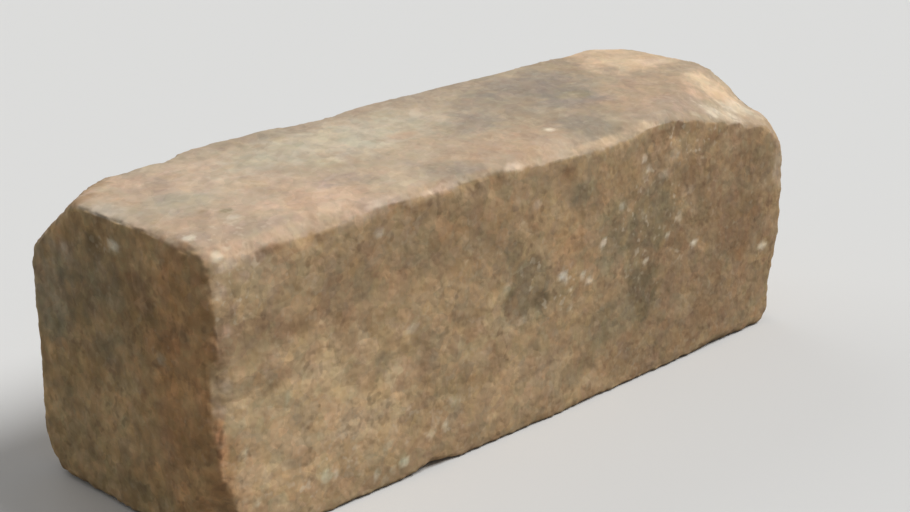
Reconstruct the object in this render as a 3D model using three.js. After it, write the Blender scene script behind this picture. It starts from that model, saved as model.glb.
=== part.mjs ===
// A tumbled clay paving brick: one solid of fired clay whose arrises and corners were knocked off and
// worn round in the tumbling drum. Millimetres, +Z up. The brick lies on its bed face, with the origin
// under its middle. X runs along its length, Y from its front to its back.
import * as THREE from "three";
import { mergeVertices } from "three/addons/utils/BufferGeometryUtils.js";

// The brick over its faces.
const LENGTH = 200; // along X, between the two ends
const WIDTH = 67; // along Y, between the front and the back
const HEIGHT = 69; // along Z, between the bed face and the top

// The front, the back and the left end are a little hollow and wavy. The other faces are flat.
const HOLLOW = 0.4; // deepest hollow in a side
const BOW = 1.6; // how far the brick is bowed towards the front
const BOW_CREST = 80; // from the left end to the crest of the bow
const WAVE_ALONG = 130; // length of a wave from end to end of a long side
const WAVE_UP = 90; // length of a wave up a side

// How the worn surfaces meet.
const ROUND = 0.8; // width of the round between a worn arris or a broken corner and what is next to it
const RAGGEDNESS = 0.18; // share by which a worn strip swells and narrows along its arris
const RAGGED_PITCH = 31; // distance between two swellings of a worn strip

// Facets of the skin. The grid is crowded towards the arrises, where the surface turns.
const FACET_PITCH = 3.3; // mean distance between two grid lines
const CROWDING = 0.6; // 0 spreads the grid lines evenly, near 1 packs them into the arrises
const CORE_INSET = 22; // how far the core, from which the skin is measured, lies under every side

const CLAY_COLOUR = 0xa8876a;

const SIZES = [LENGTH, WIDTH, HEIGHT];

// A side of the brick: the axis that it faces along, which way, and how hollow it is.
const side = (axis, sign, hollow) => ({ axis, sign, hollow });
const LEFT = side(0, -1, HOLLOW);
const RIGHT = side(0, 1, 0);
const FRONT = side(1, -1, HOLLOW);
const BACK = side(1, 1, HOLLOW);
const BED = side(2, -1, 0);
const TOP = side(2, 1, 0);
const SIDES = [LEFT, RIGHT, FRONT, BACK, BED, TOP];

// The twelve arrises. legs is how far the worn strip reaches onto the first side and onto the second. A
// chip takes the strip further onto both by deep, between two places counted from the arris's left,
// front or lower end.
const ARRISES = [
  {
    sides: [TOP, FRONT],
    legs: [2.6, 2.2],
    chips: [
      { from: -14, to: 50, deep: [2, 1.4] },
      { from: 88, to: 144, deep: [4.5, 1.6] },
    ],
  },
  {
    sides: [TOP, BACK],
    legs: [1.8, 1.5],
    chips: [
      { from: -6, to: 54, deep: [3, 2] },
      { from: 26, to: 43, deep: [3, 2] },
    ],
  },
  {
    sides: [BED, FRONT],
    legs: [0.6, 0.6],
    chips: [
      { from: 54, to: 72, deep: [3, 1.8] },
      { from: 146, to: 202, deep: [0.8, 0.8] },
    ],
  },
  { sides: [BED, BACK], legs: [2, 2], chips: [{ from: 118, to: 156, deep: [3, 3] }] },
  { sides: [TOP, LEFT], legs: [1.4, 0.7], chips: [{ from: -12, to: 26, deep: [1.6, 1.7] }] },
  { sides: [TOP, RIGHT], legs: [3, 0.3], chips: [] },
  { sides: [BED, LEFT], legs: [1.5, 1.5], chips: [] },
  { sides: [BED, RIGHT], legs: [2, 2], chips: [] },
  { sides: [FRONT, LEFT], legs: [1.5, 2.4], chips: [{ from: 24, to: 50, deep: [5, 0] }] },
  { sides: [FRONT, RIGHT], legs: [1.6, 1.2], chips: [{ from: -14, to: 30, deep: [3, 3] }] },
  { sides: [BACK, LEFT], legs: [1, 1], chips: [] },
  { sides: [BACK, RIGHT], legs: [2, 2], chips: [] },
];

// The breaks at the eight corners. reach is how far a break runs from the corner along X, Y and Z. One
// corner was broken twice, and its second break is the steeper one.
const BREAKS = [
  { sides: [LEFT, FRONT, TOP], reach: [11, 4.5, 6.5] },
  { sides: [LEFT, BACK, TOP], reach: [23, 19.5, 15.5] },
  { sides: [RIGHT, FRONT, TOP], reach: [56, 30, 14] },
  { sides: [RIGHT, FRONT, TOP], reach: [22, 17, 20] },
  { sides: [RIGHT, BACK, TOP], reach: [12, 9, 5.5] },
  { sides: [LEFT, FRONT, BED], reach: [10, 14, 22] },
  { sides: [LEFT, BACK, BED], reach: [8, 7.5, 9] },
  { sides: [RIGHT, FRONT, BED], reach: [9, 8, 8] },
  { sides: [RIGHT, BACK, BED], reach: [9, 9, 9] },
];

const wave = (place, pitch) => 0.5 - 0.5 * Math.cos((2 * Math.PI * place) / pitch);

// How far the bow moves a side inwards: the front stands proud at its crest, the back falls in there.
function bowed(point, { axis, sign }) {
  if (axis !== 1) return 0;
  const fromCrest = point.x + LENGTH / 2 - BOW_CREST;
  const towardsEnd = (fromCrest / Math.max(BOW_CREST, LENGTH - BOW_CREST)) ** 2;
  return BOW * (sign < 0 ? towardsEnd : 1 - towardsEnd);
}

// How far a point lies under a side, counted inwards from its surface.
function depthUnder(point, s) {
  const { axis, sign, hollow } = s;
  const flat = SIZES[axis] / 2 - sign * point.getComponent(axis);
  const across = point.x + point.y - point.getComponent(axis);
  const waves = wave(across, WAVE_ALONG) * wave(point.z + sign * across, WAVE_UP);
  return flat - bowed(point, s) - hollow * waves;
}

// A smooth hump of height 1 at 0 that ends at -1 and 1.
const hump = (t) => (Math.abs(t) < 1 ? 0.5 + 0.5 * Math.cos(Math.PI * t) : 0);

// The larger of two values, rounded over where they are within width of each other.
function softMax(a, b, width) {
  const closeness = Math.max(width - Math.abs(a - b), 0);
  return Math.max(a, b) + closeness ** 2 / (4 * width);
}

// How far a point lies outside the flat cut that meets each side at its reach from the corner.
function outsideCut(depths, reaches) {
  const share = depths.reduce((sum, depth, i) => sum + depth / reaches[i], 0);
  return (1 - share) / Math.hypot(...reaches.map((reach) => 1 / reach));
}

function outsideArris(point, { sides, legs, chips }) {
  const axis = [0, 1, 2].find((a) => sides.every((s) => s.axis !== a));
  const along = point.getComponent(axis) + SIZES[axis] / 2;
  const phase = 2 * sides[0].sign + sides[1].sign;
  const swell = 1 + RAGGEDNESS * Math.sin((2 * Math.PI * along) / RAGGED_PITCH + phase);
  const chipShare = ({ from, to }) => hump((2 * along - from - to) / (to - from));
  const [onFirst, onSecond] = legs.map((leg, onSide) =>
    chips.reduce((sum, chip) => sum + chip.deep[onSide] * chipShare(chip), leg * swell),
  );
  // The strip's foot on one side is where it has come its full way from the other.
  return outsideCut(
    sides.map((s) => depthUnder(point, s)),
    [onSecond, onFirst],
  );
}

// How far a point lies outside the worn brick: below 0 inside, 0 on its surface.
function outsideBrick(point) {
  const flats = SIDES.map((s) => -depthUnder(point, s));
  const strips = ARRISES.map((arris) => outsideArris(point, arris));
  const breaks = BREAKS.map(({ sides, reach }) =>
    outsideCut(
      sides.map((s) => depthUnder(point, s)),
      reach,
    ),
  );
  const worn = strips.reduce((most, strip) => softMax(most, strip, ROUND), Math.max(...flats));
  return breaks.reduce((most, broken) => softMax(most, broken, ROUND), worn);
}

// The point where a ray from inside the brick comes out of its surface.
function surfacePoint(from, direction, farthest) {
  let inside = 0;
  let outside = farthest;
  for (let halving = 0; halving < 40; halving++) {
    const middle = (inside + outside) / 2;
    const point = from.clone().addScaledVector(direction, middle);
    if (outsideBrick(point) < 0) inside = middle;
    else outside = middle;
  }
  return from.clone().addScaledVector(direction, inside);
}

// Moves a grid line towards the nearer end of its axis, for t from -1 to 1.
const crowd = (t) => t + (CROWDING * Math.sin(Math.PI * t)) / Math.PI;

// Splits every quad of the skin along the diagonal that lies nearer the brick's surface, so that the
// facets run along the edges of the breaks.
function splitAlongEdges(skin) {
  const index = skin.getIndex();
  const positions = skin.getAttribute("position");
  const corner = (i) => new THREE.Vector3().fromBufferAttribute(positions, i);
  const offSurface = (i, j) => Math.abs(outsideBrick(corner(i).lerp(corner(j), 0.5)));
  for (let first = 0; first < index.count; first += 6) {
    // The six places hold the two facets of a quad a, b, c, d that was split from b to d.
    const [a, b, d, , c] = index.array.slice(first, first + 6);
    if (offSurface(a, c) < offSurface(b, d)) index.array.set([a, b, c, a, c, d], first);
  }
}

// The worn skin: a box grid whose every vertex is carried along a ray to the brick's surface. The rays
// leave a core box square to its faces and fan out at its edges, so the grid wraps round the arrises.
function wornBrickGeometry() {
  const facets = SIZES.map((size) => Math.round(size / FACET_PITCH));
  const box = new THREE.BoxGeometry(...SIZES, ...facets);
  box.deleteAttribute("normal");
  box.deleteAttribute("uv");
  const skin = mergeVertices(box);
  const core = new THREE.Vector3(...SIZES).multiplyScalar(0.5).subScalar(CORE_INSET);
  const farthest = 2 * CORE_INSET;
  const positions = skin.getAttribute("position");
  for (let i = 0; i < positions.count; i++) {
    const grid = new THREE.Vector3().fromBufferAttribute(positions, i);
    grid.fromArray(SIZES.map((size, axis) => (size / 2) * crowd((2 * grid.getComponent(axis)) / size)));
    const start = grid.clone().clamp(core.clone().negate(), core);
    const direction = grid.clone().sub(start).normalize();
    positions.setXYZ(i, ...surfacePoint(start, direction, farthest));
  }
  splitAlongEdges(skin);
  skin.translate(0, 0, HEIGHT / 2);
  skin.computeVertexNormals();
  return skin;
}

const clay = new THREE.MeshStandardMaterial({ color: CLAY_COLOUR, roughness: 0.95, metalness: 0 });
const brick = new THREE.Mesh(wornBrickGeometry(), clay);
brick.name = "brick";

const part = new THREE.Group();
part.add(brick);
export default part;
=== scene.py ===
"""A tumbled clay paving brick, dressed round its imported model. Metres, +Z up, origin under its middle."""

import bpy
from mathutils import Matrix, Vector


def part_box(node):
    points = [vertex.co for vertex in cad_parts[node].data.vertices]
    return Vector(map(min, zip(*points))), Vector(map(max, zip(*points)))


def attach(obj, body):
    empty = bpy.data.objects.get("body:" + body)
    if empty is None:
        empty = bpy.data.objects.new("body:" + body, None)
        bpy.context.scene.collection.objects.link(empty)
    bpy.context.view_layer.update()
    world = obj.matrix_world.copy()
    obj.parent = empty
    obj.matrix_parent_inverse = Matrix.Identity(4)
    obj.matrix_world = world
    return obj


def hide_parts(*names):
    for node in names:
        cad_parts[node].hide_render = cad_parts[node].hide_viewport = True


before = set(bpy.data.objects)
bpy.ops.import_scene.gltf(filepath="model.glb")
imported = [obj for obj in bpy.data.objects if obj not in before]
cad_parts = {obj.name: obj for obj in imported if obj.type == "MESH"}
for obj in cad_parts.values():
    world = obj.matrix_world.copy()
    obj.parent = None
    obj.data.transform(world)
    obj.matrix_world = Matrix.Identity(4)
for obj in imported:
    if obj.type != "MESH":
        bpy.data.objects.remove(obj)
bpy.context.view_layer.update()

import math
from typing import NamedTuple

import bmesh
import bpy
import numpy as np
from mathutils import Matrix, Vector, noise
from mathutils.bvhtree import BVHTree

MM = 0.001
BRICK_LOW, BRICK_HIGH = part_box("brick")
LEFT, FRONT, BED = (value / MM for value in BRICK_LOW)
RIGHT, BACK, TOP = (value / MM for value in BRICK_HIGH)

# The camera stands before the arris of the left end and the front, and looks a little down.
CAMERA_PLACE = Vector((-0.31043, -0.31277, 0.18715))
CAMERA_AIM = Vector((0.00176, -0.00147, 0.0351))
CAMERA_LENS, CAMERA_SENSOR = 73.25, 36  # in millimetres
CAMERA_ROLL = math.radians(-0.215)

# A wide soft key light comes from above, the right and the front. A weaker one lights the back.
KEY_FROM = Vector((0.45, -0.42, 0.78))
KEY_STRENGTH = 2.55
KEY_SPREAD = math.radians(30)
FILL_FROM = Vector((0.0, 1.0, 0.35))
FILL_STRENGTH = 0.8
FILL_SPREAD = math.radians(70)
SKY_LIGHT = 0.24
FLOOR_SIZE = 8.0
FLOOR_PALE = (0.74, 0.74, 0.73, 1)  # what is seen
FLOOR_BOUNCE = (0.24, 0.23, 0.22, 1)  # what lights the brick
BACKDROP = (0.82, 0.83, 0.84, 1)

# The fine skin, in millimetres.
VOXEL = 0.96
TURNING = 0.985  # a quad is split in four where no part of its normal reaches this
SKIN_OFFSET = 0.25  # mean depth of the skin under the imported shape
GRAIN_ON_TOP = 0.4  # share of the grain that the smooth top keeps
WELD = 0.001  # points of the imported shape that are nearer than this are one
PIT_DEPTH, PIT_PITCH = 0.35, 5.0
PIT_REACH = 0.22  # in pitches
PITTED = 0.25  # share of the cells that hold a pit
PIT_SHUFFLE = 7.3  # takes neighbouring cells far apart in the random draw
DENT_FIRMNESS = 1.4  # above 1, a dent has a level bottom

# Random patterns: strength, width of the lumps in millimetres, octaves, and which random field it is.
# The first five are relief, and their strengths are depths in millimetres.
SWELLS = (0.16, 28.0, 2, 0)
LUMPS = (0.16, 6.5, 3, 0)
GRAIN = (0.10, 2.8, 2, 0)
CRUMBLES = (0.36, 4.2, 3, 0)
CRUMBS = (0.16, 1.7, 2, 0)
# Edges: of the stains, and of the brown and sandy clouds on the sides not seen.
FRAYING = (1.0, 3.0, 3, 1)
FIRING = (1.5, 34, 4, 9)
# Colour. The strengths are logarithms, and those of the two mottles are shares of the mottle's own.
SHADES = (0.10, 9, 3, 2)
WARMTH = (0.035, 7, 3, 3)
PINKNESS = (0.018, 8, 3, 4)
FINE_MOTTLE = (1.0, 3.2, 2, 5)
WIDE_MOTTLE = (1.0, 9, 2, 6)
FINE_END = (0.33, 3.2, 2, 7)
WIDE_END = (0.20, 12, 2, 8)
SPECKLES = (0.09, 3.2, 2, 10)
FALLOFF, LACUNARITY = 0.8, 2.1  # how the octaves of a pattern weaken, and how much finer each is

# Where one kind of skin turns into another, by a part of the normal: where it starts and is complete.
WORN_TURN = (0.97, 0.82)  # the largest part, on arrises and breaks
SMOOTH_TURN = (0.5, 0.9)  # the upward part, from the open skin to the smooth top
DUST_AND_SHEEN_TURN, DUST_AND_SHEEN_FRAY = (0.3, 0.7), 0.3  # the upward part, and how much its edge frays
END_TURN = (0.5, 0.9)  # the part towards the left
UNSEEN_TURN = (0.4, 0.7)  # the largest part towards the right, the back or the floor
STAIN_TURN = (0.3, 0.6)  # the part along a stain's facing

# Colours of fired clay, linear. The top's pale one is partly a painted sheen, and the left end's one a
# painted shade.
CLAY = (0.49, 0.338, 0.19)
# Paler and greyer on top: dust, and partly a painted sheen of the light from above.
DUST_AND_SHEEN = (0.52, 0.405, 0.285)
# The left end's colour: a painted shade, the clay as it looks away from the key light.
SHADE = (0.53, 0.365, 0.19)
WORN = (0.66, 0.49, 0.33)
CREAM = (0.56, 0.475, 0.35)
SAGE = (0.47, 0.39, 0.285)
ROSE = (0.56, 0.41, 0.29)
SALMON = (0.66, 0.465, 0.325)
PEACH = (0.72, 0.53, 0.35)
BLUSH = (0.80, 0.62, 0.46)
TERRACOTTA = (0.52, 0.37, 0.25)
EMBER = (0.72, 0.38, 0.20)
ASH = (0.33, 0.275, 0.215)
SMOKE = (0.41, 0.325, 0.238)
FAWN = (0.42, 0.323, 0.226)
LILAC = (0.45, 0.345, 0.265)
SAND = (0.70, 0.50, 0.29)
OCHRE = (0.54, 0.35, 0.19)
BROWN = (0.39, 0.26, 0.147)
UMBER = (0.32, 0.20, 0.108)
RUST = (0.53, 0.312, 0.148)
OLIVE = (0.33, 0.252, 0.15)
DARK_OLIVE = (0.23, 0.172, 0.10)
SLATE = (0.38, 0.31, 0.20)
MOSS = (0.60, 0.44, 0.24)
CHALK = (0.93, 0.80, 0.60)
LICHEN = (0.80, 0.72, 0.50)

# Shares of the colours that lie under the stains.
WORN_SHARE, WORN_MIDDLE, WORN_FRAY = 0.7, 0.5, 0.6
FIRED_BROWN, FIRED_SAND, FIRED_OVERLAP = 0.8, 0.6, 0.3

# How a stain's edge strays and frays.
STRAY_SHARE = 0.3  # of the stain's smallest reach
LEAST_STRAY, MOST_STRAY = 0.5, 5.0  # in millimetres
WANDER_PITCH, WANDER_OCTAVES = 7, 4
STAIN_FIRMNESS = 1.6  # above 1, a stain has its full share before its middle
STAIN_FRAY, FRAY_REACH = 0.35, 0.3

UPWARDS, FRONTWARDS, LEFTWARDS = (0, 0, 1), (0, -1, 0), (-1, 0, 0)
THROUGH = 40  # how far a stain goes into the brick


class Stain(NamedTuple):
    """A round patch of colour, in millimetres. One without a colour says where a pattern is strong."""

    place: tuple
    reach: tuple
    facing: tuple
    colour: tuple
    strength: float


def on_top(x, y, reach_x, reach_y, colour, strength):
    """A stain seen from above, round a place given from the middle of the brick."""
    return Stain((x, y, TOP), (reach_x, reach_y, THROUGH), UPWARDS, colour, strength)


def on_front(x, z, reach_x, reach_z, colour, strength):
    """A stain on the front, round a place given from the middle and from the floor."""
    return Stain((x, FRONT, z), (reach_x, THROUGH, reach_z), FRONTWARDS, colour, strength)


def on_left(y, z, reach_y, reach_z, colour, strength):
    """A stain on the left end, round a place given from the middle and from the floor."""
    return Stain((LEFT, y, z), (THROUGH, reach_y, reach_z), LEFTWARDS, colour, strength)


# Stains of the firing, with painted light and shade among them. A later one lies over an earlier one.
STAINS = (
    # Painted shade: darker across the upper left of the front.
    on_front(-50, 58, 62, 16, BROWN, 0.6),
    # Painted bounced light: lighter low on the left of the front.
    on_front(-78, 24, 42, 26, SAND, 0.8),
    on_front(-35, 42, 16, 7, SAND, 0.3),
    on_front(-10, 13, 34, 8, SAND, 0.4),
    on_front(-22, 28, 16, 6, SAND, 0.35),
    on_front(-20, 19, 9, 5, BROWN, 0.6),
    on_front(-82, 48, 22, 6, BROWN, 0.8),
    on_front(-58, 51, 5, 8, OLIVE, 0.7),
    on_front(-52, 18, 13, 15, SAND, 0.55),
    on_front(-53, 30, 4, 4, OLIVE, 0.7),
    on_front(-86, 60, 24, 11, SAND, 0.36),
    on_front(-58, 63, 22, 5, SAND, 0.3),
    on_front(-88, 66, 15, 3.5, SALMON, 0.8),
    on_front(-57, 66.5, 9, 2.5, SALMON, 0.6),
    on_front(-97, 18, 5, 14, RUST, 0.6),
    on_front(66, 34, 48, 56, BROWN, 0.85),
    on_front(-5, 36, 12, 12, OLIVE, 0.8),
    on_front(-11, 47, 4, 4, OLIVE, 0.9),
    on_front(9, 42, 9, 14, OCHRE, 0.8),
    on_front(14, 56, 8, 5, OLIVE, 0.8),
    on_front(27, 41, 10, 12, OLIVE, 0.9),
    on_front(43, 43, 12, 12, OLIVE, 0.8),
    on_front(38, 24, 11, 12, DARK_OLIVE, 0.8),
    on_front(28, 19, 12, 8, OLIVE, 0.8),
    on_front(13, 9, 7, 5, OLIVE, 0.6),
    on_front(52, 59, 14, 5, SAND, 0.35),
    on_front(40, 8, 22, 8, BROWN, 0.9),
    on_front(80, 33, 13, 14, UMBER, 0.7),
    on_front(84, 54, 10, 10, UMBER, 0.3),
    on_front(-76, 51, 7, 4, SAND, 0.5),
    on_front(-45, 51, 6, 5, BROWN, 0.9),
    on_front(-85, 37, 8, 4, BROWN, 0.9),
    on_front(-35, 59, 6, 4, SAND, 0.3),
    on_front(-57, 37, 9, 3, SAND, 0.5),
    on_front(-16, 37, 4, 4, SAND, 0.8),
    on_front(-47, 15, 5, 5, SAND, 0.5),
    on_front(-46, 37, 6, 3, SAND, 0.5),
    on_front(-76, 16, 6, 4, BROWN, 0.5),
    on_front(-5, 15, 5, 4, BROWN, 0.5),
    on_front(-93, 24, 5, 6, BROWN, 0.5),
    on_front(-65, 46, 5, 6, BROWN, 0.7),
    on_front(15, 38, 4, 3, BROWN, 0.5),
    on_front(-16, 52, 5, 4, BROWN, 0.8),
    on_front(5, 52, 6, 5, SAND, 0.4),
    on_front(-44, 29, 4, 4, SAND, 0.4),
    on_front(-23, 23, 6, 4, SAND, 0.4),
    on_front(5, 17, 6, 4, BROWN, 0.7),
    on_front(57, 16, 7, 4, SAND, 0.35),
    on_front(70, 55, 10, 5, SAND, 0.35),
    on_front(56, 44, 5, 5, SAND, 0.3),
    on_front(45, 37, 4, 4, OLIVE, 0.6),
    on_front(45, 59, 6, 4, BROWN, 0.7),
    on_top(-76, 0, 40, 50, ROSE, 0.7),
    on_top(54, 2, 70, 60, FAWN, 0.9),
    on_top(-10, 28, 110, 9, SMOKE, 0.8),
    on_top(-95, 28, 17, 15, BROWN, 0.85),
    on_top(-97, 14.5, 8, 3.5, BROWN, 0.9),
    on_top(-92, -17, 9, 7, TERRACOTTA, 0.6),
    on_top(-80, -26, 14, 4, LILAC, 0.5),
    on_top(-85, -4, 17, 9, SAGE, 0.9),
    on_top(-97, 3, 6, 10, CREAM, 0.8),
    on_top(-76, 15, 7, 8, LILAC, 0.4),
    on_top(-60, -25, 16, 14, SALMON, 0.9),
    on_top(-48, -16, 10, 7, LILAC, 0.9),
    on_top(-26, 10, 52, 18, CREAM, 1.0),
    on_top(-25, -27, 12, 9, ASH, 0.6),
    on_top(-4, -22, 26, 12, TERRACOTTA, 0.9),
    on_top(-12, 2, 6, 4, TERRACOTTA, 0.7),
    on_top(6, -3, 14, 9, ASH, 0.6),
    on_top(25, 8, 16, 18, ASH, 0.4),
    on_top(46, 13, 24, 18, ASH, 0.9),
    on_top(44, -4, 17, 10, ASH, 1.0),
    on_top(46, -1, 8, 5, SLATE, 0.7),
    on_top(26, -24, 11, 10, ASH, 0.7),
    on_top(66, -14, 28, 16, TERRACOTTA, 0.8),
    on_top(62, -24, 14, 8, LILAC, 0.7),
    # Painted highlight: a peach rim along the top's right end and its broken front corner.
    on_top(88, 18, 20, 22, PEACH, 0.8),
    on_top(88, -16, 12, 14, PEACH, 1.0),
    on_top(90, 9, 7, 6, BLUSH, 0.5),
    on_top(76, -20, 6, 4, SALMON, 0.5),
    on_top(87, -24, 9, 5, CHALK, 0.4),
    on_top(38, -32, 8, 2.4, PEACH, 0.7),
    on_left(25, 46, 14, 16, SLATE, 0.8),
    on_left(6, 52, 16, 13, OLIVE, 0.7),
    on_left(14, 16, 20, 15, MOSS, 0.6),
    on_left(-24, 34, 18, 44, RUST, 0.9),
    on_left(-9, 54, 7, 7, UMBER, 0.8),
    on_left(5, 37, 8, 6, OLIVE, 0.7),
    on_left(7.5, 61, 3.5, 5, DARK_OLIVE, 0.6),
    on_left(18, 57, 5, 4, DUST_AND_SHEEN, 0.5),
    on_left(-8, 57, 4, 1.8, UMBER, 0.7),
    on_left(-9, 32, 3, 3, UMBER, 0.7),
    on_left(-23, 47, 3, 3, UMBER, 0.5),
    on_left(-16, 22, 4, 6, TERRACOTTA, 0.25),
)

# Grains, smudges, pale worn edges and painted highlights on the front's end arrises, laid over the stains.
MARKS = (
    on_front(-1, 32, 3.6, 2.8, DARK_OLIVE, 1.0),
    on_front(-6, 31.5, 4, 2.4, DARK_OLIVE, 0.6),
    on_front(-3, 43, 3, 2.2, DARK_OLIVE, 0.7),
    on_front(-12, 36, 3, 2.2, DARK_OLIVE, 0.6),
    on_front(34, 44, 3, 2.6, DARK_OLIVE, 0.7),
    on_front(46, 47, 3, 3, DARK_OLIVE, 0.6),
    on_front(14, 9, 4, 2.5, DARK_OLIVE, 0.4),
    on_front(40, 20, 6, 4, DARK_OLIVE, 0.6),
    on_front(9, 62, 4, 3, UMBER, 0.8),
    on_front(-26, 30, 3, 3, UMBER, 0.5),
    on_front(-82, 64.5, 5, 1.6, UMBER, 0.8),
    on_front(-69, 64.5, 4, 1.4, UMBER, 0.7),
    on_front(-40, 64.5, 6, 1.8, UMBER, 0.7),
    on_front(46, 65, 3, 1.2, UMBER, 0.8),
    on_front(57, 63, 2.4, 1.2, UMBER, 0.8),
    on_front(66, 59, 5, 1.6, UMBER, 0.8),
    on_front(7, 36.5, 2.2, 1.6, CHALK, 1.0),
    on_front(8.2, 34.6, 1.5, 1.1, CHALK, 0.7),
    on_front(10, 32, 1.3, 0.9, CHALK, 0.6),
    on_front(14.2, 34.8, 1.5, 1.3, CHALK, 0.6),
    on_front(16.5, 32.6, 2.0, 0.9, CHALK, 0.6),
    on_front(21.9, 41.2, 1.6, 1.4, CHALK, 1.0),
    on_front(28.9, 49.6, 1.6, 1.4, CHALK, 0.5),
    on_front(39.2, 32.1, 1.5, 1.1, CHALK, 0.9),
    on_front(48.1, 36.6, 1.5, 1.2, CHALK, 0.7),
    on_front(59.3, 32, 2.2, 1.1, CHALK, 0.9),
    on_front(53.4, 40.5, 1.7, 2.4, CHALK, 0.35),
    on_front(45.7, 53.7, 2.8, 1.8, CHALK, 0.25),
    on_front(56.8, 47, 2.6, 1.6, CHALK, 0.25),
    on_front(37.2, 59.5, 1.2, 1.2, CHALK, 0.7),
    on_front(39, 56.3, 1.2, 1.2, CHALK, 0.6),
    on_front(50.5, 58.3, 2.6, 1.8, CHALK, 0.35),
    on_front(90.6, 23.7, 2.6, 1.3, CHALK, 0.9),
    on_front(-2.3, 56.2, 2.2, 1.8, CHALK, 0.35),
    on_front(-13, 38.3, 2.2, 1.8, CHALK, 0.3),
    on_front(-7.5, 28.7, 2.6, 1.4, CHALK, 0.35),
    on_front(9.9, 27.6, 1.6, 1.2, CHALK, 0.4),
    on_front(-43, 37, 3, 1.5, CHALK, 0.4),
    on_front(-53, 61.5, 1.8, 1.4, CHALK, 0.5),
    on_front(-94, 63.5, 3.2, 1.8, BLUSH, 0.5),
    on_front(-96, 59.5, 2.2, 2.2, PEACH, 0.6),
    on_front(-90, 61, 2.6, 1.5, SALMON, 0.5),
    on_front(-93, 55, 2.0, 1.6, SALMON, 0.5),
    on_front(-86, 63.5, 3.0, 1.4, SALMON, 0.5),
    on_front(-83, 56, 2.2, 1.5, SALMON, 0.4),
    on_front(-95, 50, 1.8, 2.0, SALMON, 0.5),
    on_front(-70, 46, 2.0, 1.4, SAND, 0.5),
    on_front(-69.4, 9, 1.5, 2.5, LICHEN, 0.8),
    on_front(-66.8, 8.6, 1.4, 1.7, CHALK, 0.6),
    on_front(-46.4, 5.2, 2.2, 1.5, LICHEN, 0.9),
    on_front(-55, 4.4, 1.1, 1.8, LICHEN, 0.6),
    on_front(-50, 4, 1.7, 1.2, LICHEN, 0.5),
    on_front(-51, 10.8, 2.5, 1.7, LICHEN, 0.5),
    on_front(-33.5, 10.2, 1.4, 1.4, LICHEN, 0.7),
    on_front(-38, 9.2, 1.8, 1.5, LICHEN, 0.5),
    on_front(-31, 15, 2.2, 1.5, LICHEN, 0.3),
    on_front(-91.7, 22, 1.2, 2.3, LICHEN, 0.6),
    on_front(-89, 9.7, 1.4, 1.5, LICHEN, 0.6),
    on_front(-80, 31.5, 1.2, 2.0, LICHEN, 0.4),
    # Painted highlight along the arris between the front and the right end.
    on_front(97, 44, 3, 12, PEACH, 0.6),
    # Orange and peach on the arris between the front and the left end: partly the clay's colour, partly a
    # painted highlight on the shaded chamfer.
    on_front(-97.6, 26, 1.8, 8, EMBER, 0.7),
    on_front(-97.4, 33, 1.8, 2.4, PEACH, 0.7),
    on_front(-95.3, 38.3, 2, 2.4, PEACH, 0.6),
    on_top(-80.5, -15.2, 2.6, 1.8, OLIVE, 0.7),
    on_top(-84, -12, 1.8, 1.4, OLIVE, 0.5),
    on_top(10.5, 5, 2.6, 6, ASH, 0.7),
    on_top(15, 8, 4, 1.8, ASH, 0.5),
    on_top(-28.5, -19, 1.8, 4.5, LILAC, 0.6),
    on_top(-38, -1.6, 1.6, 1.6, CHALK, 0.3),
    on_top(18.4, -8, 2.2, 2.2, CREAM, 0.5),
    on_top(15.5, -20, 1.8, 2.2, CHALK, 0.9),
    on_top(-96, -23, 2.0, 1.8, CHALK, 0.8),
    on_top(-95.6, -31.2, 1.8, 1.4, CHALK, 0.7),
    on_top(-82, -20, 2.0, 2.0, CHALK, 0.3),
    on_top(-50, -32.3, 9, 2, BLUSH, 0.75),
    on_top(-34, -32.6, 8, 1.3, BLUSH, 0.5),
    on_top(-10, -32.5, 4, 1.6, BLUSH, 0.8),
    on_top(22, -31.5, 12, 1.8, PEACH, 0.8),
    on_top(76, -27.5, 12, 5, CHALK, 0.3),
    on_top(62, -29.5, 2.5, 2.0, CHALK, 0.3),
    on_top(70, -29, 2.2, 1.8, CHALK, 0.5),
    on_top(74, -27, 2.2, 2.2, CHALK, 0.4),
    on_top(80, -28, 2.2, 2.0, CHALK, 0.5),
    on_top(84, -25, 2.2, 2.2, CHALK, 0.4),
    on_left(-1, 62.5, 2.8, 1.8, CHALK, 0.9),
    on_left(-16, 41, 1.8, 1.6, CHALK, 0.3),
    on_left(18, 57.5, 2.0, 1.6, CHALK, 0.3),
)

# Where pale grit shows, apart from the little that is everywhere.
GRIT_EVERYWHERE = 0.25
GRITTY = (
    on_front(5, 38, 20, 14, None, 0.8),
    on_front(42, 42, 22, 24, None, 0.8),
    on_front(52, 60, 24, 8, None, 1.0),
    on_front(-60, 10, 44, 10, None, 0.8),
    on_front(-90, 60, 16, 12, None, 1.0),
    on_top(-90, -26, 18, 12, None, 0.6),
    on_top(-72, -8, 40, 24, None, 0.3),
    on_top(74, -28, 20, 7, None, 1.0),
    on_left(4, 58, 16, 9, None, 0.6),
)

# Dents: place, reach and depth in millimetres.
DENTS = (
    ((RIGHT - 1, -18.5, TOP - 8), 9, 1.1),
    ((-80, 27, TOP - 1), 12, 0.7),
    ((-18, 31, TOP), 18, 0.5),
    ((LEFT, 5, 60.5), 3.5, 0.6),
    ((-73, FRONT, 66), 3.5, 0.6),
    ((-48, FRONT, 66), 3.5, 0.6),
    ((-25, FRONT, 66), 3.5, 0.6),
    ((-17, FRONT, 65), 4, 0.8),
    ((51, FRONT, 63.5), 4, 0.6),
    ((-2, FRONT, 32), 4, 0.5),
    ((-58, FRONT, 50), 6, 0.4),
    ((16, FRONT, 9), 5, 0.5),
)

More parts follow.
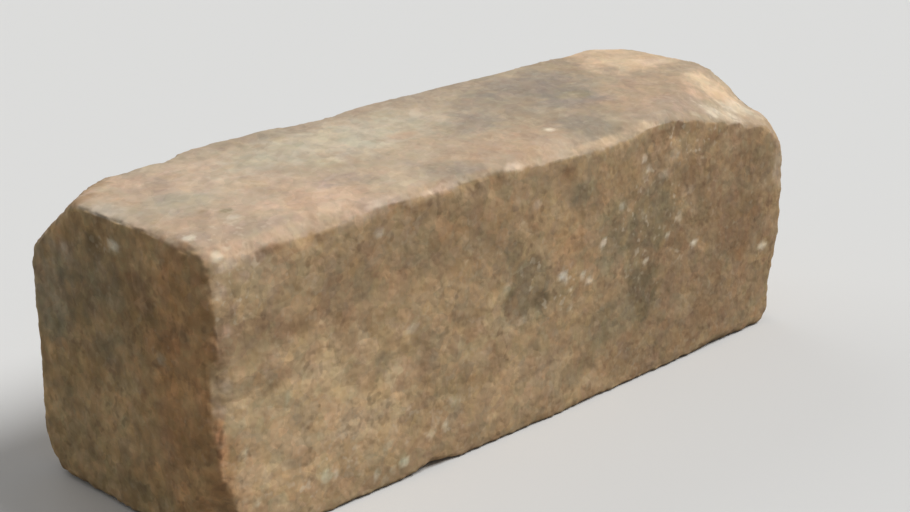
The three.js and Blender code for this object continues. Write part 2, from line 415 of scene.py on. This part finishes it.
# Where an arris is rubbed rounder: place, reach and how many rubs.
RUBBED = (
    ((-89, FRONT, TOP - 1), 16, 120),
    ((-71, FRONT, TOP), 6, 20),
    ((-15, FRONT, TOP), 7, 20),
    ((22, FRONT, TOP), 8, 20),
)
RUB = 0.5  # how far one rub takes a point towards the middle of its neighbours
RUB_NARROWING = 0.7  # share of the reach that the last rubs leave out

# Where the top's mottle is strongest, and where the front is speckled.
MOTTLED = on_top(-60, 0, 62, 50, None, 1.0)
SPECKLED = on_front(-62, 30, 76, 50, None, 1.0)
MOTTLE_ALL_OVER, MOTTLE_ADDED = 0.08, 0.06

# The top was struck off slantwise, so that its pattern is drawn out that way.
STRIKING = math.radians(45)  # from the brick's length
DRAWN_OUT = 1.7

SEED = 7  # of the noise that strays the stains' edges
SEED_SHIFT = Vector((31.7, 12.9, 57.3))  # picks this brick out of all the random ones
FIELD_SHIFT = Vector((113.0, 71.0, 29.0))  # between one random field and the next

# The clay's fine grain, in its shader. Widths and depths are in millimetres.
ROUGHNESS, SHINE = 0.93, 0.2
NOISE_DETAIL, NOISE_ROUGHNESS = 1, 0.6
CELL_STRAY_PITCH, CELL_STRAY = 0.9, 0.7  # shares of a cell's width
# Patches, the widest first: width, and how much they differ in lightness, in warmth and in green.
OPEN_PATCHES = (
    (5.0, 0.10, 0.025, 0.018),
    (2.6, 0.07, 0.030, 0.020),
    (1.5, 0.07, 0.020, 0.014),
)
SMOOTH_PATCHES = (
    (4.5, 0.06, 0.012, 0.014),
    (2.2, 0.05, 0.012, 0.014),
    (1.2, 0.04, 0.012, 0.008),
)
# Small grains: the width of one and of their clouds, how far from its middle one starts and ends to fade,
# where in the noise their clouds start and are complete, the share between the clouds, and how dark and
# light the grains make the clay.
GRAIN_WIDTH, GRAIN_CLOUD_WIDTH = 2.4, 8
GRAIN_EDGE, GRAIN_CLOUD_EDGE = (0.1, 0.7), (0.4, 0.6)
STRAY_GRAINS = 0.3
GRAIN_TINT = (0.96, 1.06)
# Flecks: colour, width, and the least and the most that they cover.
DARK_FLECK, DARK_FLECK_WIDTH, DARK_FLECK_SHARES = (0.17, 0.105, 0.06, 1), 2.4, (0.1, 0.35)
PALE_FLECK, PALE_FLECK_WIDTH, PALE_FLECK_SHARES = (0.80, 0.68, 0.50, 1), 2.0, (0, 0.5)
FLECK_EDGE, FLECK_GROUP_EDGE = (0.58, 0.68), (0.42, 0.58)
FLECK_GROUP_WIDTH = 5  # in widths of a fleck
STRAY_FLECKS = 0.15
# Relief that is too fine for the mesh: depth, width, the grains' share, and what the smooth top keeps.
RELIEF, RELIEF_WIDTH, RELIEF_OF_GRAINS, RELIEF_ON_TOP = 0.27, 2.6, 0.4, 0.35


class ShaderNodes:
    """Short ways to add shader nodes. An input is either another node's output or a plain value."""

    def __init__(self, tree):
        self.nodes = tree.nodes
        self.links = tree.links

    def feed(self, socket, value):
        if isinstance(value, bpy.types.NodeSocket):
            self.links.new(value, socket)
        else:
            socket.default_value = value

    def add(self, kind, inputs, **settings):
        node = self.nodes.new(kind)
        for name, value in settings.items():
            setattr(node, name, value)
        for name, value in inputs.items():
            self.feed(node.inputs[name], value)
        return node

    def maths(self, operation, a, b):
        return self.add("ShaderNodeMath", {0: a, 1: b}, operation=operation).outputs[0]

    def vector_maths(self, operation, a, b):
        return self.add("ShaderNodeVectorMath", {0: a, 1: b}, operation=operation).outputs[0]

    def scaled(self, vector, factor):
        inputs = {0: vector, "Scale": factor}
        return self.add("ShaderNodeVectorMath", inputs, operation="SCALE").outputs[0]

    def remap(self, value, from_low, from_high, to_low, to_high):
        inputs = {
            "Value": value,
            "From Min": from_low,
            "From Max": from_high,
            "To Min": to_low,
            "To Max": to_high,
        }
        return self.add("ShaderNodeMapRange", inputs).outputs["Result"]

    def blended(self, colour, other, share):
        inputs = {"Fac": share, "Color1": colour, "Color2": other}
        return self.add("ShaderNodeMixRGB", inputs).outputs["Color"]

    def seen_or_bounced(self, seen, bounced):
        """One colour to the camera, in gloss and through glass, and another to bounced light."""
        path = self.add("ShaderNodeLightPath", {}).outputs
        shiny = self.maths("MAXIMUM", path["Is Glossy Ray"], path["Is Transmission Ray"])
        return self.blended(bounced, seen, self.maths("MAXIMUM", path["Is Camera Ray"], shiny))


def aim_camera():
    data = bpy.data.cameras.new("camera")
    data.lens = CAMERA_LENS
    data.sensor_width = CAMERA_SENSOR
    camera = bpy.data.objects.new("camera", data)
    bpy.context.scene.collection.objects.link(camera)
    facing = (CAMERA_AIM - CAMERA_PLACE).to_track_quat("-Z", "Y").to_matrix().to_4x4()
    roll = Matrix.Rotation(CAMERA_ROLL, 4, "Z")
    camera.matrix_world = Matrix.Translation(CAMERA_PLACE) @ facing @ roll
    bpy.context.scene.camera = camera


def add_sun(name, comes_from, strength, spread):
    data = bpy.data.lights.new(name, "SUN")
    data.energy = strength
    data.angle = spread
    lamp = bpy.data.objects.new(name, data)
    lamp.rotation_euler = comes_from.to_track_quat("Z", "Y").to_euler()
    bpy.context.scene.collection.objects.link(lamp)


def add_sky():
    world = bpy.data.worlds.new("sky")
    world.use_nodes = True
    bpy.context.scene.world = world
    shader = ShaderNodes(world.node_tree)
    sky = (SKY_LIGHT, SKY_LIGHT, SKY_LIGHT, 1)
    shader.feed(shader.nodes["Background"].inputs["Color"], shader.seen_or_bounced(BACKDROP, sky))


def add_floor():
    bm = bmesh.new()
    bmesh.ops.create_grid(bm, x_segments=1, y_segments=1, size=FLOOR_SIZE / 2)
    mesh = bpy.data.meshes.new("floor")
    bm.to_mesh(mesh)
    bm.free()
    floor = bpy.data.objects.new("floor", mesh)
    bpy.context.scene.collection.objects.link(floor)
    material = bpy.data.materials.new("floor")
    material.use_nodes = True
    shader = ShaderNodes(material.node_tree)
    shader.nodes.clear()
    colour = shader.seen_or_bounced(FLOOR_PALE, FLOOR_BOUNCE)
    diffuse = shader.add("ShaderNodeBsdfDiffuse", {"Color": colour})
    shader.add("ShaderNodeOutputMaterial", {"Surface": diffuse.outputs[0]})
    mesh.materials.append(material)


def split_turns(mesh):
    """Splits the quads where the surface turns: on the worn arrises and the broken corners."""
    bm = bmesh.new()
    bm.from_mesh(mesh)
    turning = [face for face in bm.faces if max(abs(value) for value in face.normal) < TURNING]
    edges = {edge for face in turning for edge in face.edges}
    bmesh.ops.subdivide_edges(bm, edges=list(edges), cuts=1, use_grid_fill=True)
    bm.to_mesh(mesh)
    bm.free()


def lay_on(mesh, node):
    """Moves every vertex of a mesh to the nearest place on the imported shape."""
    bm = bmesh.new()
    bm.from_mesh(node.data)
    shape = BVHTree.FromBMesh(bm)
    bm.free()
    for vertex in mesh.vertices:
        vertex.co = shape.find_nearest(vertex.co)[0]
    mesh.update()


def rub_round(mesh):
    """Smooths the mesh round each rubbed place, most in its middle."""
    every_way = {"use_axis_x": True, "use_axis_y": True, "use_axis_z": True}
    bm = bmesh.new()
    bm.from_mesh(mesh)
    for place, reach, rubs in RUBBED:
        away = [((vert.co / MM - Vector(place)).length / reach, vert) for vert in bm.verts]
        away = [(share, vert) for share, vert in away if share < 1]
        for rub in range(rubs):
            limit = 1 - RUB_NARROWING * rub / rubs
            near = [vert for share, vert in away if share < limit]
            bmesh.ops.smooth_vert(bm, verts=near, factor=RUB, **every_way)
    bm.to_mesh(mesh)
    bm.free()


def dense_copy(node, name):
    """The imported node's shape, as a new piece of small quads."""
    bm = bmesh.new()
    bm.from_mesh(node.data)
    bmesh.ops.remove_doubles(bm, verts=bm.verts, dist=WELD * MM)
    mesh = bpy.data.meshes.new(name)
    bm.to_mesh(mesh)
    bm.free()
    piece = bpy.data.objects.new(name, mesh)
    bpy.context.scene.collection.objects.link(piece)
    remesh = piece.modifiers.new("remesh", "REMESH")
    remesh.mode = "VOXEL"
    remesh.voxel_size = VOXEL * MM
    bpy.context.view_layer.update()
    graph = bpy.context.evaluated_depsgraph_get()
    dense = bpy.data.meshes.new_from_object(piece.evaluated_get(graph))
    piece.modifiers.clear()
    piece.data = dense
    split_turns(dense)
    lay_on(dense, node)
    rub_round(dense)
    dense.materials.clear()
    dense.polygons.foreach_set("use_smooth", [True] * len(dense.polygons))
    return piece


def smooth_step(t):
    t = np.clip(t, 0, 1)
    return t * t * (3 - 2 * t)


def ramp(values, start, end):
    """Rises smoothly from 0 where the values are at start to 1 where they are at end."""
    return smooth_step((values - start) / (end - start))


def clouds(points, strength, pitch, octaves, field):
    """Soft noise round 0, mostly within its strength, with lumps about pitch millimetres wide."""
    shift = SEED_SHIFT + field * FIELD_SHIFT
    places = [(Vector(point) + shift) / pitch for point in points]
    return strength * np.array([noise.fractal(place, FALLOFF, LACUNARITY, octaves) for place in places])


def along_strike(points):
    """The points as the top's pattern is laid out: with the way that it was struck off shortened."""
    turned = points @ np.array(Matrix.Rotation(STRIKING, 3, "Z"))
    return turned / (DRAWN_OUT, 1, 1)


def pit_depth(point):
    """A small round pit, of half to full size, in some cells of a random net."""
    cell = (point + SEED_SHIFT) / PIT_PITCH
    distances, centres = noise.voronoi(cell, distance_metric="DISTANCE")
    chance = 0.5 + 0.5 * noise.cell(centres[0] * PIT_SHUFFLE)
    if chance > PITTED:
        return 0.0
    size = 1 - chance / PITTED / 2
    return PIT_DEPTH * size * max(0.0, 1 - (distances[0] / (PIT_REACH * size)) ** 2)


def worn_share(normals):
    """1 on the worn arrises and the breaks, and 0 on the sides."""
    return ramp(np.abs(normals).max(axis=1), *WORN_TURN)


def skin_depth(points, normals):
    """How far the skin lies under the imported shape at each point."""
    worn = worn_share(normals)
    open_skin = 1 - ramp(normals[:, 2], *SMOOTH_TURN)
    pits = np.array([pit_depth(Vector(point)) for point in points])
    depth = SKIN_OFFSET + clouds(points, *SWELLS) + clouds(points, *LUMPS)
    depth += (GRAIN_ON_TOP + (1 - GRAIN_ON_TOP) * open_skin) * clouds(points, *GRAIN)
    depth += worn * (clouds(points, *CRUMBLES) + clouds(points, *CRUMBS))
    depth += pits * open_skin
    for place, reach, deepest in DENTS:
        near = 1 - np.linalg.norm(points - np.array(place), axis=1) / reach
        depth += deepest * smooth_step(DENT_FIRMNESS * near)
    return depth


class Skin:
    """The points of the skin in millimetres, the kind of skin each is on, and the noise in its stains."""

    def __init__(self, points, normals):
        self.points = points
        self.normals = normals
        self.rough = clouds(points, *FRAYING)
        places = [(Vector(point) + SEED_SHIFT) / WANDER_PITCH for point in points]
        self.wander = np.array([noise.turbulence_vector(place, WANDER_OCTAVES, False) for place in places])
        self.dusty_and_sheened = ramp(normals[:, 2] + DUST_AND_SHEEN_FRAY * self.rough, *DUST_AND_SHEEN_TURN)
        self.end = ramp(-normals[:, 0], *END_TURN)
        self.unseen = ramp(np.maximum(normals[:, :2].max(axis=1), -normals[:, 2]), *UNSEEN_TURN)

    def share(self, stain):
        """How much of a stain shows at each point: its edge strays and frays."""
        stray = np.clip(STRAY_SHARE * min(stain.reach), LEAST_STRAY, MOST_STRAY)
        away = (self.points + stray * self.wander - np.array(stain.place)) / np.array(stain.reach)
        near = 1 - np.linalg.norm(away, axis=1)
        frayed = STAIN_FIRMNESS * near + STAIN_FRAY * self.rough * (near > -FRAY_REACH)
        faces_it = ramp(self.normals @ np.array(stain.facing), *STAIN_TURN)
        return stain.strength * faces_it * smooth_step(frayed)


def mixed(colours, colour, share):
    return colours + share[:, None] * (np.array(colour) - colours)


def unstained(skin):
    """The clay under its stains: paler on top from dust and a painted sheen, a painted shade on the left
    end, and brown and sandy by turns on the sides not seen.
    """
    colours = mixed(np.tile(CLAY, (len(skin.points), 1)), DUST_AND_SHEEN, skin.dusty_and_sheened)
    # Painted shade on the left end.
    colours = mixed(colours, SHADE, skin.end)
    worn = worn_share(skin.normals) * skin.dusty_and_sheened * smooth_step(WORN_MIDDLE + WORN_FRAY * skin.rough)
    colours = mixed(colours, WORN, WORN_SHARE * worn)
    firing = clouds(skin.points, *FIRING)
    colours = mixed(colours, BROWN, FIRED_BROWN * skin.unseen * smooth_step(FIRED_OVERLAP + firing))
    return mixed(colours, SAND, FIRED_SAND * skin.unseen * smooth_step(FIRED_OVERLAP - firing))


def lightness(skin):
    """How much lighter the clay's patterns make it at each point, as a logarithm."""
    struck = along_strike(skin.points)
    mottled = MOTTLE_ALL_OVER * skin.dusty_and_sheened + MOTTLE_ADDED * skin.share(MOTTLED)
    speckled = np.maximum(skin.unseen, skin.share(SPECKLED))
    light = clouds(skin.points, *SHADES)
    light += mottled * (clouds(struck, *FINE_MOTTLE) + clouds(struck, *WIDE_MOTTLE))
    light += skin.end * (clouds(skin.points, *FINE_END) + clouds(skin.points, *WIDE_END))
    light += speckled * clouds(skin.points, *SPECKLES)
    return light


def clay_colours(skin):
    """The clay's colour at each point, before its fine grain, with the share of pale grit as alpha."""
    colours = unstained(skin)
    for stain in STAINS + MARKS:
        colours = mixed(colours, stain.colour, skin.share(stain))
    light = lightness(skin)
    warmth = clouds(skin.points, *WARMTH)
    pink = clouds(skin.points, *PINKNESS)
    colours *= np.exp(np.stack([light + warmth, light - pink, light - warmth], axis=1))
    grit = np.full(len(skin.points), GRIT_EVERYWHERE)
    for patch in GRITTY:
        grit = np.maximum(grit, skin.share(patch))
    return np.column_stack([colours, grit])


def vertex_vectors(mesh, name):
    values = np.empty(len(mesh.vertices) * 3)
    mesh.vertices.foreach_get(name, values)
    return values.reshape(-1, 3)


def dress(piece):
    """Lowers a piece to the fine skin and gives its points the clay's colours."""
    mesh = piece.data
    points = vertex_vectors(mesh, "co") / MM
    normals = vertex_vectors(mesh, "normal")
    moved = points - normals * skin_depth(points, normals)[:, None]
    moved = np.clip(moved, (LEFT, FRONT, BED), (RIGHT, BACK, TOP))
    mesh.vertices.foreach_set("co", (moved * MM).ravel())
    mesh.update()
    layer = mesh.attributes.new("clay", "FLOAT_COLOR", "POINT")
    layer.data.foreach_set("color", clay_colours(Skin(points, normals)).ravel())


class ClayNodes(ShaderNodes):
    """Shader nodes for random patterns in the clay. Their widths are in millimetres."""

    def __init__(self, tree):
        super().__init__(tree)
        self.place = self.add("ShaderNodeTexCoord", {}).outputs["Object"]
        struck = {"Vector": self.place, "Rotation": (0, 0, STRIKING), "Scale": (DRAWN_OUT, 1, 1)}
        self.struck = self.add("ShaderNodeMapping", struck, vector_type="TEXTURE").outputs["Vector"]

    def cloud(self, width, where):
        inputs = {
            "Vector": where,
            "Scale": 1 / (width * MM),
            "Detail": NOISE_DETAIL,
            "Roughness": NOISE_ROUGHNESS,
        }
        return self.add("ShaderNodeTexNoise", inputs).outputs

    def strayed(self, width, distance, where):
        """Coordinates that wander by about distance, so that random cells get ragged edges."""
        wander = self.scaled(self.cloud(width, where)["Color"], distance * MM)
        return self.vector_maths("ADD", where, wander)

    def cells(self, width, where):
        """A random net: the distance to the middle of a cell, and three random values for the cell."""
        ragged = self.strayed(CELL_STRAY_PITCH * width, CELL_STRAY * width, where)
        net = self.add("ShaderNodeTexVoronoi", {"Vector": ragged, "Scale": 1 / (width * MM)})
        split = self.add("ShaderNodeSeparateColor", {0: net.outputs["Color"]})
        return net.outputs["Distance"], split.outputs

    def patches(self, colour, where, width, light, warmth, green):
        """Patches of clay that are each a little lighter, warmer or greener than the next."""
        _, (first, second, third) = self.cells(width, where)
        lighter = self.remap(first, 0, 1, 1 - light, 1 + light)
        tints = (
            self.remap(second, 0, 1, 1 - warmth, 1 + warmth),
            self.remap(third, 0, 1, 1 - green, 1 + green),
            self.remap(second, 0, 1, 1 + warmth, 1 - warmth),
        )
        channels = {channel: self.maths("MULTIPLY", lighter, tint) for channel, tint in enumerate(tints)}
        product = self.add("ShaderNodeCombineColor", channels).outputs[0]
        return self.vector_maths("MULTIPLY", colour, product)

    def grains(self):
        """Small grains, crowded in clouds."""
        distance, _ = self.cells(GRAIN_WIDTH, self.place)
        cloud = self.cloud(GRAIN_CLOUD_WIDTH, self.place)["Fac"]
        crowd = self.remap(cloud, *GRAIN_CLOUD_EDGE, STRAY_GRAINS, 1)
        return self.maths("MULTIPLY", self.remap(distance, *GRAIN_EDGE, 1, 0), crowd)

    def flecked(self, colour, tint, width, share):
        """Ragged flecks in loose groups, where two random fields are both high."""
        fleck = self.remap(self.cloud(width, self.place)["Fac"], *FLECK_EDGE, 0, 1)
        cloud = self.cloud(FLECK_GROUP_WIDTH * width, self.place)["Fac"]
        group = self.remap(cloud, *FLECK_GROUP_EDGE, STRAY_FLECKS, 1)
        shown = self.maths("MULTIPLY", self.maths("MULTIPLY", fleck, group), share)
        return self.blended(colour, tint, shown)


def clay_material():
    """Patches, grains and flecks over the colours of the points, finer and fainter on the smooth top."""
    material = bpy.data.materials.new("clay")
    material.use_nodes = True
    clay = ClayNodes(material.node_tree)
    painted = clay.add("ShaderNodeVertexColor", {}, layer_name="clay").outputs
    normal = clay.add("ShaderNodeNewGeometry", {}).outputs["Normal"]
    upward = clay.add("ShaderNodeSeparateXYZ", {0: normal}).outputs[2]
    open_skin = clay.remap(upward, *SMOOTH_TURN, 1, 0)
    grains = clay.grains()

    rugged = painted["Color"]
    for patches in OPEN_PATCHES:
        rugged = clay.patches(rugged, clay.place, *patches)
    rugged = clay.scaled(rugged, clay.remap(grains, 0, 1, *GRAIN_TINT))
    smooth = painted["Color"]
    for patches in SMOOTH_PATCHES:
        smooth = clay.patches(smooth, clay.struck, *patches)
    colour = clay.blended(smooth, rugged, open_skin)
    dark = clay.remap(open_skin, 0, 1, *DARK_FLECK_SHARES)
    colour = clay.flecked(colour, DARK_FLECK, DARK_FLECK_WIDTH, dark)
    pale = clay.remap(painted["Alpha"], 0, 1, *PALE_FLECK_SHARES)
    colour = clay.flecked(colour, PALE_FLECK, PALE_FLECK_WIDTH, pale)

    raised = clay.remap(grains, 0, 1, 0, RELIEF_OF_GRAINS)
    relief = {
        "Strength": clay.remap(open_skin, 0, 1, RELIEF_ON_TOP, 1),
        "Distance": RELIEF * MM,
        "Height": clay.maths("ADD", clay.cloud(RELIEF_WIDTH, clay.place)["Fac"], raised),
    }
    surface = clay.nodes["Principled BSDF"].inputs
    surface["Roughness"].default_value = ROUGHNESS
    surface["Specular IOR Level"].default_value = SHINE
    clay.feed(surface["Base Color"], colour)
    clay.feed(surface["Normal"], clay.add("ShaderNodeBump", relief).outputs["Normal"])
    return material


aim_camera()
add_sun("key", KEY_FROM, KEY_STRENGTH, KEY_SPREAD)
add_sun("fill", FILL_FROM, FILL_STRENGTH, FILL_SPREAD)
add_sky()
add_floor()

noise.seed_set(SEED)
brick_surface = dense_copy(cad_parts["brick"], "brick_surface")
dress(brick_surface)
brick_surface.data.materials.append(clay_material())
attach(brick_surface, "root")
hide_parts("brick")

bpy.context.scene.view_settings.view_transform = "Standard"
